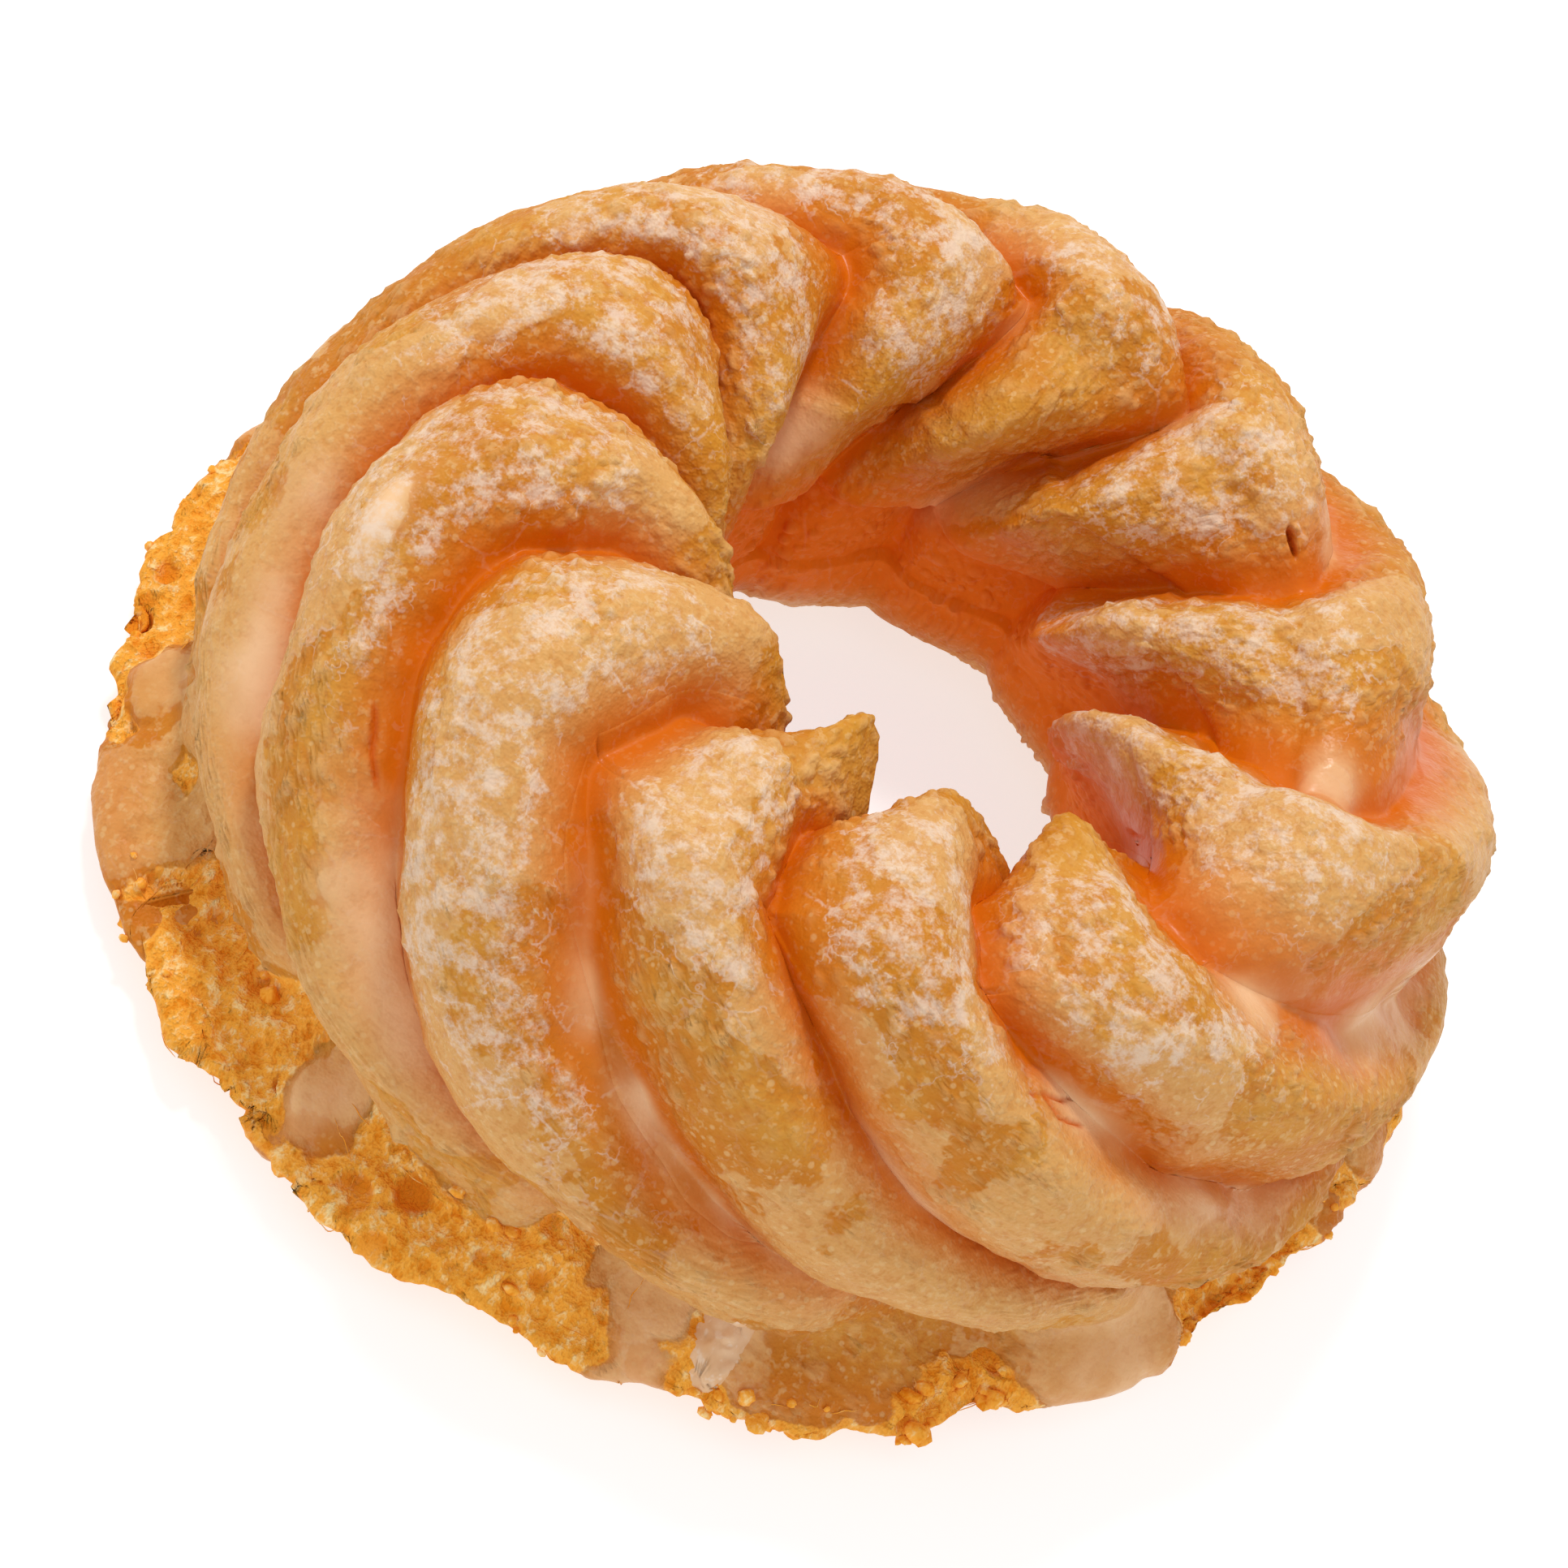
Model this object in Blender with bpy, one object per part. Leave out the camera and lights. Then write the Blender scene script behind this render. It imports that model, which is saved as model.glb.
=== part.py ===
"""Cruller doughnut: a ring of twisted choux ridges on a swollen base.

The body is one closed surface on a grid of two parameters.  The first runs round
the ring from ridge to ridge, the second runs once round the section of the dough.
Lengths are in millimetres up to the last step; the mesh is in metres, +Z up,
resting on z = 0 with the middle of its box over the origin.
"""
import bpy
import numpy as np

# ---- ring and section ------------------------------------------------------
RIDGE_COUNT = 12
RING_RADIUS = 27.7           # middle of the dough section, from the ring's centre
RING_SHIFT = 0.4             # the section's middle wanders this far from a circle
CAP_RADIUS = 42.0            # crests of the ridges at the waist
HOLE_RADIUS = 14.6           # crests of the ridges at the narrowest of the hole
HOLE_SHIFT = 1.4             # how far the hole sits off the centre
HOLE_SIDE_DEG = 45.0         # towards which side
WAIST_HEIGHT = 11.8          # height of the widest part of the cap over the table
CAP_RISE = 23.0              # waist to the top of the crests
BASE_SWELL = 3.8             # the base bulges this far past the cap
BASE_SIDE_DEG = 251.0        # fattest side of the base
WAIST_NOTCH = 2.6            # depth of the torn band between cap and base
FLAT_LIFT = 0.35             # the underside is cut flat this far up
TOP_POWER = 1.07             # below 1 squares the section off
HOLE_POWER = 0.75
BOTTOM_POWER = 0.55
UNDER_HOLE_POWER = 0.85

# ---- ridges ----------------------------------------------------------------
VALLEY_DEPTH = 5.2           # crest to valley over the top and the outside
HOLE_VALLEY_DEPTH = 3.4
BASE_VALLEY_DEPTH = 1.2
GLAZE_LEVEL = 0.16           # share of a valley filled with glaze
FIRST_RIDGE_DEG = 186.9
RIDGE_LEAN_DEG = (-3.3, -6.5, -7.0, -6.3, -8.7, -9.3, -1.1, 5.4, 7.6, 5.3, 2.1, 2.4)
VALLEY_AT = 0.37             # a valley lies this far along to the next crest
VALLEY_AT_SWING = 0.05
KNOB_MM = (0.6, 0.8, 1.0, 3.6, 1.2, 1.6, 5.2, 4.4, 2.6, 2.2, 0.6, 0.6)
KNOB_AT_DEG = (134.0, 134.0, 134.0, 140.0, 134.0, 134.0, 155.0, 153.0, 143.0, 134.0, 134.0, 134.0)
KNOB_WIDTH_DEG = (13.0, 13.0, 13.0, 13.0, 13.0, 13.0, 20.0, 20.0, 16.0, 13.0, 13.0, 13.0)
RIDGE_HEIGHT_MM = (0.2, 0.3, 0.5, -0.6, 0.4, -0.2, 0.3, -0.3, -0.2, 0.3, -0.4, 0.2)
RIM_ANGLE = 140.0            # section angle where the twist is counted from
SWEEP_SPAN = 145.0
SWEEP_DEG = (-78.0, 153.0, -30.0)
HOLE_SWEEP_DEG = 30.0
HELIX_PITCHES = 2            # ridges advanced in one turn round the section

# ---- mesh ------------------------------------------------------------------
CELLS_PER_RIDGE = 12
CELLS_ROUND_SECTION = 34
MM = 0.001


def swing(angle, mean, size, side_deg, order=1):
    """A value that swings once (or order times) round the ring."""
    return mean + size * np.cos(order * (angle - np.radians(side_deg)))


def bump(x, middle, width):
    """Smooth hump of height one, measured on a circle of degrees."""
    d = (x - middle + 180.0) % 360.0 - 180.0
    return np.exp(-((d / width) ** 2))


def ease(x, low, high):
    """Smooth step from 0 at low to 1 at high."""
    t = np.clip((x - low) / (high - low), 0.0, 1.0)
    return t * t * (3.0 - 2.0 * t)


def signed_power(x, power):
    return np.sign(x) * np.maximum(np.abs(x), 1e-9) ** power


def envelope(angle, phi):
    """Section through the crests: radius and height at ring angle, section angle.

    phi is in degrees: 0 at the outer waist, 90 on top, 180 in the hole, 270 below.
    """
    c = np.cos(np.radians(phi))
    s = np.sin(np.radians(phi))
    outside = c > 0.0
    above = s > 0.0
    middle = swing(angle, RING_RADIUS, RING_SHIFT, HOLE_SIDE_DEG)
    outer = swing(angle, CAP_RADIUS, 1.2, 18.0, 2)
    inner = swing(angle, HOLE_RADIUS, HOLE_SHIFT, HOLE_SIDE_DEG)
    hole_power = swing(angle, HOLE_POWER, 0.30, HOLE_SIDE_DEG + 30.0)
    above_power = np.where(outside, TOP_POWER, hole_power)
    below_power = np.where(outside, BOTTOM_POWER, UNDER_HOLE_POWER)
    power = np.where(above, above_power, below_power)
    half = np.where(outside, outer - middle, middle - inner)
    rise = swing(angle, CAP_RISE, 2.1, 235.0)
    radius = middle + half * signed_power(c, power)
    height = WAIST_HEIGHT + np.where(above, rise, WAIST_HEIGHT) * signed_power(s, power)
    swell = swing(angle, BASE_SWELL, 2.1, BASE_SIDE_DEG)
    swell = swell + 1.2 * np.cos(2.0 * (angle - np.radians(26.0)))
    radius = radius + swell * bump(phi, -34.0, 27.0)
    radius = radius - WAIST_NOTCH * bump(phi, -6.0, 9.0)
    return radius, height


def sweep(phi):
    """Ring angle in degrees gained by a ridge between the rim and section angle phi."""
    slant, curl, tail = SWEEP_DEG
    t = (RIM_ANGLE - phi) / SWEEP_SPAN
    top = slant * t + curl * t ** 2 + tail * t ** 3
    inside = HOLE_SWEEP_DEG * ease(phi, RIM_ANGLE - 10.0, 190.0)
    gained = 360.0 / RIDGE_COUNT * HELIX_PITCHES + HOLE_SWEEP_DEG * ease(185.0, RIM_ANGLE - 10.0, 190.0)
    lip = slant + curl + tail
    under = lip + (gained - lip) * ease(-phi, -60.0, 175.0)
    blend = ease(phi, -14.0, 16.0)
    outside = under * (1.0 - blend) + top * blend
    return np.where(phi > RIM_ANGLE, inside, outside)


def per_ridge(values, s):
    """Value of the nearest ridge, blended in the valleys."""
    values = np.asarray(values)
    low = np.floor(s).astype(int)
    mix = ease(s - low, 0.2, 0.6)
    return values[low % RIDGE_COUNT] * (1.0 - mix) + values[(low + 1) % RIDGE_COUNT] * mix


def valley_depth(phi):
    depth = BASE_VALLEY_DEPTH + (VALLEY_DEPTH - BASE_VALLEY_DEPTH) * ease(phi, -16.0, 18.0)
    depth = depth + (HOLE_VALLEY_DEPTH - VALLEY_DEPTH) * ease(phi, 130.0, 165.0)
    return depth * (1.0 - 0.45 * ease(phi, 165.0, 185.0))


def surface(s, phi):
    """Points of the body: s counts ridges round the ring, phi goes round the section."""
    lean = per_ridge(RIDGE_LEAN_DEG, s) * ease(phi, -120.0, -40.0) * ease(-phi, -185.0, -160.0)
    angle = np.radians(FIRST_RIDGE_DEG + 360.0 / RIDGE_COUNT * s + lean + sweep(phi))
    radius, height = envelope(angle, phi)
    r_next, z_next = envelope(angle, phi + 1.5)
    r_last, z_last = envelope(angle, phi - 1.5)
    tangent_r = r_next - r_last
    tangent_z = z_next - z_last
    length = np.hypot(tangent_r, tangent_z)
    normal_r = tangent_z / length
    normal_z = -tangent_r / length
    valley_at = swing(angle, VALLEY_AT, VALLEY_AT_SWING, 235.0)
    t = s - np.floor(s)
    across = np.where(t < valley_at, t / valley_at, (t - 1.0) / (1.0 - valley_at))
    lobe = np.maximum(1.0 - np.abs(across) ** 2.0, 0.0) ** 0.70
    lobe = np.hypot(lobe, GLAZE_LEVEL)
    on_cap = ease(phi, -10.0, 12.0) * ease(-phi, -185.0, -160.0)
    crest = np.exp(-((across / 0.75) ** 2))
    offset = -valley_depth(phi) * (1.0 - lobe)
    offset = offset + per_ridge(RIDGE_HEIGHT_MM, s) * on_cap
    knob = bump(phi, per_ridge(KNOB_AT_DEG, s), per_ridge(KNOB_WIDTH_DEG, s))
    offset = offset + per_ridge(KNOB_MM, s) * crest * knob
    radius = radius + normal_r * offset
    height = height + normal_z * offset
    return radius * np.cos(angle), radius * np.sin(angle), height


def section_angles(count):
    """Section angles spaced evenly along the outline, from the hole over the top."""
    phi = np.linspace(185.0, -175.0, 1441)
    radius, height = envelope(np.full(phi.shape, np.radians(BASE_SIDE_DEG)), phi)
    steps = np.hypot(np.diff(radius), np.diff(height))
    run = np.concatenate([[0.0], np.cumsum(steps)])
    wanted = np.arange(count) / count * run[-1]
    return np.interp(wanted, run, phi)


def build_cruller():
    columns = RIDGE_COUNT * CELLS_PER_RIDGE
    rows = CELLS_ROUND_SECTION
    s = np.arange(columns) / CELLS_PER_RIDGE
    grid_s, grid_phi = np.meshgrid(s, section_angles(rows), indexing="ij")
    x, y, z = surface(grid_s, grid_phi)
    z = np.maximum(z, FLAT_LIFT) - FLAT_LIFT
    x = x - 0.5 * (x.max() + x.min())
    y = y - 0.5 * (y.max() + y.min())
    points = np.stack([x, y, z], axis=-1).reshape(-1, 3) * MM
    shift = HELIX_PITCHES * CELLS_PER_RIDGE
    faces = []
    for i in range(columns):
        for j in range(rows):
            i_next = (i + 1) % columns
            if j + 1 < rows:
                a, b = i * rows + j + 1, i_next * rows + j + 1
            else:
                a, b = ((i + shift) % columns) * rows, ((i_next + shift) % columns) * rows
            faces.append((i * rows + j, a, b, i_next * rows + j))
    mesh = bpy.data.meshes.new("cruller")
    mesh.from_pydata([tuple(p) for p in points], [], faces)
    mesh.update()
    body = bpy.data.objects.new("cruller", mesh)
    bpy.context.scene.collection.objects.link(body)
    return body


def glazed_crust():
    material = bpy.data.materials.new("glazed_crust")
    material.use_nodes = True
    shader = material.node_tree.nodes["Principled BSDF"]
    shader.inputs["Base Color"].default_value = (0.72, 0.40, 0.15, 1.0)
    shader.inputs["Roughness"].default_value = 0.42
    shader.inputs["Metallic"].default_value = 0.0
    return material


for leftover in list(bpy.data.objects):
    bpy.data.objects.remove(leftover, do_unlink=True)

cruller = build_cruller()
cruller.data.materials.append(glazed_crust())
for polygon in cruller.data.polygons:
    polygon.use_smooth = True
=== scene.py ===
# %% [markdown]
# # A glazed cruller
# A cruller is a ring of choux dough, piped through a star nozzle and turned as it is
# piped, so twelve ridges wind round it.  It swells in the fryer, tears open along the
# waist, and is dipped in thin sugar glaze.  The frame is the plain solid ring.  This
# lesson lays a finer skin over it, from the big shapes down to the sugar crystals.

# %% Open the frame
import bpy
import numpy as np
from mathutils import Matrix


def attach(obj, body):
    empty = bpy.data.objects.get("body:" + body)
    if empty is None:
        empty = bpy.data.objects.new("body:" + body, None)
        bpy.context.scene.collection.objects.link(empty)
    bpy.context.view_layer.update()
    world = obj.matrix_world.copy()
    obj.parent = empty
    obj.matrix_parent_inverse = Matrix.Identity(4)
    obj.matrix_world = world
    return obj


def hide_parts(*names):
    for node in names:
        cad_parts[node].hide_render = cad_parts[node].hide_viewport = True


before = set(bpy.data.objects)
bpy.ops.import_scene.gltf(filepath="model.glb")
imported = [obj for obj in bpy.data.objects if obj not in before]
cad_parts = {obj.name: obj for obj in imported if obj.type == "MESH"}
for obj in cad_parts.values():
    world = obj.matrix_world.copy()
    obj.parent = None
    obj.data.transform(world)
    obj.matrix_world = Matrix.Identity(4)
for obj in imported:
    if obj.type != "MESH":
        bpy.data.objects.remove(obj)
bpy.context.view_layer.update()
MM = 0.001

# %% [markdown]
# ## Sizes of the ring
# All lengths are in millimetres until a mesh is made.  The section of the dough is
# four quarter ovals joined at a waist: a high cap above it, a flat swollen base below.
# Each size may swing a little round the ring, because no piped ring is even.

# %% Sizes and slow swings
RIDGES = 12
RIDGE_DEG = 360.0 / RIDGES
RING_RADIUS, RING_SHIFT = 27.7, 0.4
CAP_RADIUS = 42.0
HOLE_RADIUS, HOLE_SHIFT, HOLE_SIDE = 14.6, 1.4, 45.0
WAIST_HEIGHT, CAP_RISE = 11.8, 23.0
BASE_SWELL, BASE_SIDE = 3.8, 251.0
WAIST_NOTCH = 2.6
FLAT_LIFT = 0.35
TOP_POWER, HOLE_POWER, BOTTOM_POWER, UNDER_HOLE_POWER = 1.07, 0.75, 0.55, 0.85
CAP_OVAL, CAP_OVAL_SIDE = 1.2, 18.0            # mm and degrees, twice a turn
HOLE_POWER_SWING = 0.30
TOP_TILT, TOP_SIDE = 2.1, 235.0
SWELL_SWING, SWELL_OVAL, SWELL_OVAL_SIDE = 2.1, 1.2, 26.0
SWELL_AT, SWELL_WIDE, NOTCH_PHI, NOTCH_PHI_WIDE = -34.0, 27.0, -6.0, 9.0


def swing(angle, mean, size, side_deg, order=1):
    """The mean plus a cosine wave of that size, highest at side_deg, order waves a turn."""
    return mean + size * np.cos(order * (angle - np.radians(side_deg)))


def bump(x, middle, width):
    """A bell curve of height one on a circle of degrees: exp(-(distance / width) squared)."""
    away = (x - middle + 180.0) % 360.0 - 180.0
    return np.exp(-((away / width) ** 2))


def ease(x, low, high):
    """0 below low, 1 above high, and 3tt - 2ttt between them."""
    t = np.clip((x - low) / (high - low), 0.0, 1.0)
    return t * t * (3.0 - 2.0 * t)


def signed_power(x, power):
    """The size of x raised to a power, with x's sign kept: it squares off an oval."""
    return np.sign(x) * np.maximum(np.abs(x), 1e-9) ** power


# %% The section through the crests
def envelope(angle, phi):
    """Radius and height of the crests.  phi is 0 at the outer waist, 90 on top, 180 in
    the hole.  Each quarter is half-width times cosine and rise times sine, squared off
    by a power, with a bell added for the base's bulge and one taken off at the waist."""
    c, s = np.cos(np.radians(phi)), np.sin(np.radians(phi))
    outside, above = c > 0.0, s > 0.0
    middle = swing(angle, RING_RADIUS, RING_SHIFT, HOLE_SIDE)
    outer = swing(angle, CAP_RADIUS, CAP_OVAL, CAP_OVAL_SIDE, 2)
    inner = swing(angle, HOLE_RADIUS, HOLE_SHIFT, HOLE_SIDE)
    hole_power = swing(angle, HOLE_POWER, HOLE_POWER_SWING, HOLE_SIDE + 30.0)
    power = np.where(above, np.where(outside, TOP_POWER, hole_power),
                     np.where(outside, BOTTOM_POWER, UNDER_HOLE_POWER))
    half = np.where(outside, outer - middle, middle - inner)
    rise = np.where(above, swing(angle, CAP_RISE, TOP_TILT, TOP_SIDE), WAIST_HEIGHT)
    radius = middle + half * signed_power(c, power)
    height = WAIST_HEIGHT + rise * signed_power(s, power)
    swell = swing(angle, BASE_SWELL, SWELL_SWING, BASE_SIDE)
    swell = swell + swing(angle, 0.0, SWELL_OVAL, SWELL_OVAL_SIDE, 2)
    radius = radius + swell * bump(phi, SWELL_AT, SWELL_WIDE)
    radius = radius - WAIST_NOTCH * bump(phi, NOTCH_PHI, NOTCH_PHI_WIDE)
    return radius, height


# %% [markdown]
# ## The twist
# A ridge runs almost straight out of the hole, then leans over and sweeps round the
# outside until it lies nearly flat along the waist.  A cubic in the section angle
# gives that sweep.  Each ridge may lean off its even twelfth, stand a little higher
# or lower, and end at the rim in a bigger or smaller knob.

# %% Ridge by ridge
VALLEY_DEPTH, HOLE_VALLEY_DEPTH, BASE_VALLEY_DEPTH = 5.9, 3.8, 1.3
FIRST_RIDGE = 186.9
LEAN_DEG = (-3.3, -6.5, -7.0, -6.3, -8.7, -9.3, -1.1, 5.4, 7.6, 5.3, 2.1, 2.4)
KNOB_MM = (0.6, 0.8, 1.0, 5.2, 1.0, 1.6, 5.4, 4.6, 2.8, 2.2, 0.6, 0.6)
KNOB_AT = (134.0, 134.0, 134.0, 142.0, 134.0, 134.0, 155.0, 153.0, 143.0, 134.0, 134.0, 134.0)
KNOB_WIDE = (13.0, 13.0, 13.0, 11.0, 13.0, 13.0, 20.0, 20.0, 16.0, 13.0, 13.0, 13.0)
KNOB_ACROSS = (0.75, 0.75, 0.75, 0.50, 0.60, 0.60, 0.75, 0.75, 0.75, 0.60, 0.75, 0.75)
UNDERCUT_MM = (0.0, 0.0, 0.6, 9.0, 1.2, 0.6, 0.0, 0.0, 0.0, 0.8, 0.4, 0.0)
NOTCH_MM = 10.0                                # a notch beside the longest knob
NOTCH_AT, NOTCH_WIDE = (3.32, 148.0), (0.16, 14.0)   # ridge number, section angle
LIFT_MM = (0.2, 0.3, 0.5, -0.6, 0.4, -0.2, 0.3, -0.3, -0.2, 0.3, -0.4, 0.2)
PINCH_SHARE, PINCH_MM, PINCH_AT, PINCH_WIDE = 0.42, 2.2, 112.0, 9.0
UNDERCUT_AT, UNDERCUT_WIDE = 155.0, 11.0
RIM_ANGLE, SWEEP_SPAN = 140.0, 145.0
SWEEP_DEG = (-78.0, 153.0, -30.0)
HOLE_SWEEP = 30.0
HELIX = 2


def sweep(phi):
    """Degrees a ridge has gained round the ring: a t + b tt + c ttt over the cap, where
    t runs from 0 at the rim to 1 at the waist, then an even drift under the base."""
    t = (RIM_ANGLE - phi) / SWEEP_SPAN
    top = SWEEP_DEG[0] * t + SWEEP_DEG[1] * t ** 2 + SWEEP_DEG[2] * t ** 3
    inside = HOLE_SWEEP * ease(phi, RIM_ANGLE - 10.0, 190.0)
    gained = RIDGE_DEG * HELIX + HOLE_SWEEP * ease(185.0, RIM_ANGLE - 10.0, 190.0)
    under = sum(SWEEP_DEG) + (gained - sum(SWEEP_DEG)) * ease(-phi, -60.0, 175.0)
    blend = ease(phi, -14.0, 16.0)
    return np.where(phi > RIM_ANGLE, inside, under * (1.0 - blend) + top * blend)


def per_ridge(values, s):
    """The nearest ridge's own value, eased into its neighbour's across the valley."""
    values, low = np.asarray(values), np.floor(s).astype(int)
    mix = ease(s - low, 0.2, 0.6)
    return values[low % RIDGES] * (1.0 - mix) + values[(low + 1) % RIDGES] * mix


def lean(s, phi):
    """Degrees a ridge leans off its even place: all of it on the cap, none below."""
    return per_ridge(LEAN_DEG, s) * ease(phi, -120.0, -40.0) * ease(-phi, -185.0, -160.0)


def valley_depth(phi):
    """Crest to valley: deep on the cap, shallower in the hole and under the base."""
    depth = BASE_VALLEY_DEPTH + (VALLEY_DEPTH - BASE_VALLEY_DEPTH) * ease(phi, -16.0, 18.0)
    depth = depth + (HOLE_VALLEY_DEPTH - VALLEY_DEPTH) * ease(phi, 130.0, 165.0)
    return depth * (1.0 - 0.45 * ease(phi, 165.0, 185.0))


# %% [markdown]
# ## Noise to roughen with
# Frying leaves lumps, blisters and pores of every size.  Two patterns make them all:
# smooth noise that fixes a random number to each point of a lattice and blends
# between, and domes, one in each cell of a lattice, for blisters and, upside down,
# for pores.  Both are worked out for whole arrays of points at once.

# %% Lattice noise
def scatter(ix, iy, iz, seed):
    """A number from 0 to 1 fixed to each lattice point: whole-number products, mixed."""
    h = (ix * 374761393 + iy * 668265263 + iz * 1442695041 + seed * 97471193) & 0xFFFFFFFF
    h = ((h ^ (h >> 13)) * 1274126177) & 0xFFFFFFFF
    h = ((h ^ (h >> 15)) * 362436069) & 0xFFFFFFFF
    return ((h ^ (h >> 16)) & 0xFFFFFF) / float(0xFFFFFF)


def noise(p, size, seed):
    """Smooth noise from -1 to 1 whose lumps are about size across: the eight lattice
    values round a point, blended with eased weights."""
    q = p / size
    cell = np.floor(q).astype(np.int64)
    t = q - cell
    w = t * t * (3.0 - 2.0 * t)
    total = 0.0
    for dx in (0, 1):
        wx = w[..., 0] if dx else 1.0 - w[..., 0]
        for dy in (0, 1):
            wy = w[..., 1] if dy else 1.0 - w[..., 1]
            for dz in (0, 1):
                wz = w[..., 2] if dz else 1.0 - w[..., 2]
                corner = scatter(cell[..., 0] + dx, cell[..., 1] + dy, cell[..., 2] + dz, seed)
                total = total + corner * wx * wy * wz
    return total * 2.0 - 1.0


def rough(p, size, octaves, seed):
    """Layers of noise, each half as large and half as strong as the one before."""
    return sum(noise(p, size / 2 ** k, seed + k) * 0.5 ** k for k in range(octaves))


def domes(p, cell, smallest, largest, share, seed):
    """The tallest dome over each point: one ball in each cell, in that share of the
    cells, and the height is the square root of radius squared less distance squared."""
    base = np.floor(p / cell).astype(np.int64)
    tallest = np.zeros(p.shape[:-1])
    for step in np.ndindex(3, 3, 3):
        at = base + (np.array(step) - 1)
        ix, iy, iz = at[..., 0], at[..., 1], at[..., 2]
        middle = np.stack([scatter(ix, iy, iz, seed + k) for k in (1, 2, 3)], axis=-1)
        gap2 = ((p - (at + middle) * cell) ** 2).sum(axis=-1)
        pick = scatter(ix, iy, iz, seed + 4)
        radius = smallest + (largest - smallest) * scatter(ix, iy, iz, seed + 5) ** 2
        height = np.sqrt(np.maximum(radius ** 2 - gap2, 0.0))
        tallest = np.maximum(tallest, np.where(pick < share, height, 0.0))
    return tallest


print("noise sample", np.round(noise(np.array([[0.3, 0.2, 5.0]]), 1.0, 3), 3))

# %% [markdown]
# ## The skin of the dough
# One formula gives every point of the skin.  Across a ridge the height follows a
# rounded lobe, deep and narrow in the valley, where glaze has settled and smoothed the
# bottom.  Ridges piped by hand wander a little, pinch in before the rim and end there
# in a knob.  Below the waist the crust hangs over the torn base like a skirt.

# %% Where the waist tore
# ring angle, half width, degrees under the lip where it starts and ends, and how far it
# is set back in mm
TEARS = ((190.0, 13.0, 0.0, 52.0, 0.9), (233.0, 12.0, 0.0, 62.0, 1.9),
         (266.0, 15.0, 0.0, 75.0, 0.7), (293.0, 7.0, 15.0, 50.0, 0.9),
         (309.0, 5.0, 11.0, 38.0, 0.9), (342.0, 10.0, 0.0, 58.0, 1.9),
         (16.0, 13.0, 0.0, 46.0, 1.2), (62.0, 16.0, 0.0, 60.0, 1.5),
         (104.0, 12.0, 0.0, 44.0, 1.0), (149.0, 15.0, 0.0, 62.0, 1.6))
GLAZE_LEVEL, BASE_GLAZE = 0.30, 0.12
LOBE_STEEP, LOBE_LONG, LOBE_POWER = 2.4, 2.0, 0.88
HOLE_LEDGE = 1.7
VALLEY_AT, VALLEY_AT_SWING = 0.37, 0.05


def tears(ring_deg, under, wobble):
    """How torn (0 to 1) and how far set back in mm, under degrees below the lip.
    wobble, from -1 to 1, makes the ends of each tear ragged."""
    torn, back = np.zeros(under.shape), np.zeros(under.shape)
    for middle, half, first, last, inset in TEARS:
        side = np.abs((ring_deg - middle + 180.0) % 360.0 - 180.0) / half + 0.8 * wobble
        start = first * (1.0 + 0.5 * wobble)
        down = under / last + 0.4 * wobble
        here = ease(-side, -1.3, -0.8) * ease(under, start, start + 2.5) * ease(-down, -1.1, -0.7)
        torn = np.maximum(torn, here)
        soft = ease(-side, -1.5, -0.5) * ease(under, start, start + 5.0) * ease(-down, -1.1, -0.1)
        back = np.maximum(back, soft * inset)
    return torn, back


def lip_line(ring_deg, across):
    """Section angle of the crust's lower edge: crests hang lower than valleys."""
    return 1.5 - 7.0 * np.exp(-((across / 0.6) ** 2)) + 1.5 * np.sin(np.radians(ring_deg * 5.0))


def across_ridge(s, angle):
    """-1 in the valley before a crest, 0 on the crest, 1 in the valley after it.  The
    valley lies at a third of the way to the next crest, not half, because each ridge is
    folded over towards the next: one flank is steep and the other is long."""
    valley_at = swing(angle, VALLEY_AT, VALLEY_AT_SWING, TOP_SIDE)
    t = s - np.floor(s)
    return np.where(t < valley_at, t / valley_at, (t - 1.0) / (1.0 - valley_at))


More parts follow.
